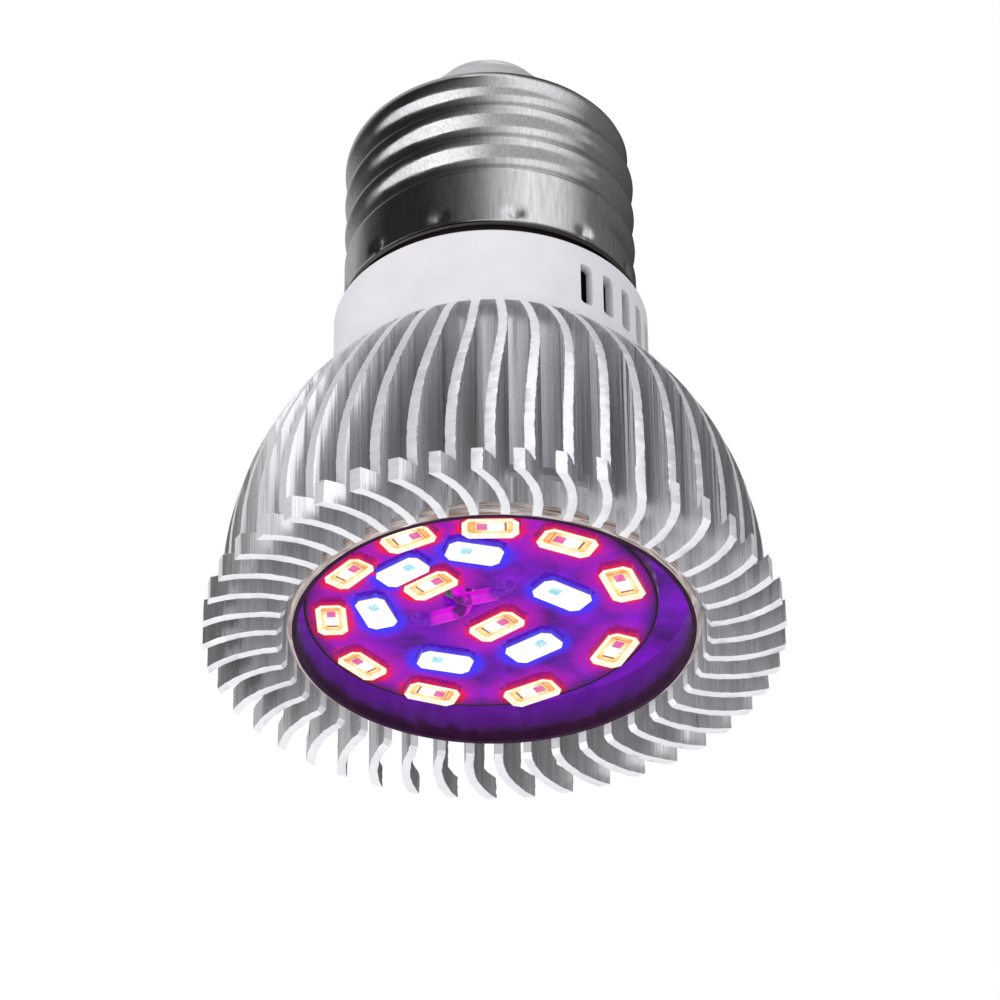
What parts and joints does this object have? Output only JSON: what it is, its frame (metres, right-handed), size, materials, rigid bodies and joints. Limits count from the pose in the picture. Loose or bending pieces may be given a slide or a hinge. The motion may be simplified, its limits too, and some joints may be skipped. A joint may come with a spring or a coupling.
{
  "type": "grow light bulb",
  "caption": "Screw-in LED grow light bulb with a domed heat sink of bent fins, red and blue LEDs behind a clear cover, and a plated screw cap.",
  "frame": {"origin": "on the bulb's axis, at the front ends of the fins, which it stands on", "axes": "+Z along the bulb's axis, from the light face to the screw cap"},
  "size_m": [0.05, 0.05, 0.062],
  "materials": {
    "aluminium_fins": "extruded and turned, bare, with fine streaks along the fins and bright cut ends",
    "clear_cover": "clear moulded plastic, polished",
    "board_face": "white solder mask on an aluminium board",
    "plate_metal": "stamped sheet",
    "red_led": "white moulded package that glows red and pink-white",
    "blue_led": "white moulded package that glows blue-white",
    "lead_insulation": "soft plastic insulation",
    "white_plastic": "moulded, satin",
    "circuit_board": "solder mask",
    "chip_plastic": "moulded epoxy",
    "resistor_coating": "lacquer",
    "capacitor_sleeve": "shrunk sleeve",
    "inductor_sleeve": "shrunk sleeve",
    "live_insulation": "soft plastic insulation",
    "neutral_insulation": "soft plastic insulation",
    "cap_metal": "nickel plated, rolled, lightly scratched",
    "insulator_plastic": "moulded",
    "contact_metal": "tinned"
  },
  "bodies": {
    "root": {"heat_sink": "aluminium_fins", "lens_cover": "clear_cover", "led_board": "board_face", "mounting_plate": "plate_metal", "red_led_01": "red_led", "red_led_02": "red_led", "red_led_03": "red_led", "red_led_04": "red_led", "red_led_05": "red_led", "red_led_06": "red_led", "red_led_07": "red_led", "red_led_08": "red_led", "red_led_09": "red_led", "red_led_10": "red_led", "red_led_11": "red_led", "red_led_12": "red_led", "blue_led_01": "blue_led", "blue_led_02": "blue_led", "blue_led_03": "blue_led", "blue_led_04": "blue_led", "blue_led_05": "blue_led", "blue_led_06": "blue_led", "positive_lead": "lead_insulation", "negative_lead": "lead_insulation", "driver_housing": "white_plastic", "driver_board": "circuit_board", "bridge_rectifier": "chip_plastic", "driver_chip": "chip_plastic", "flyback_diode": "chip_plastic", "fuse_resistor": "resistor_coating", "input_capacitor": "capacitor_sleeve", "output_capacitor": "capacitor_sleeve", "power_inductor": "inductor_sleeve", "live_lead": "live_insulation", "neutral_lead": "neutral_insulation", "cap_shell": "cap_metal", "cap_insulator": "insulator_plastic", "centre_contact": "contact_metal"}
  },
  "joints": []
}
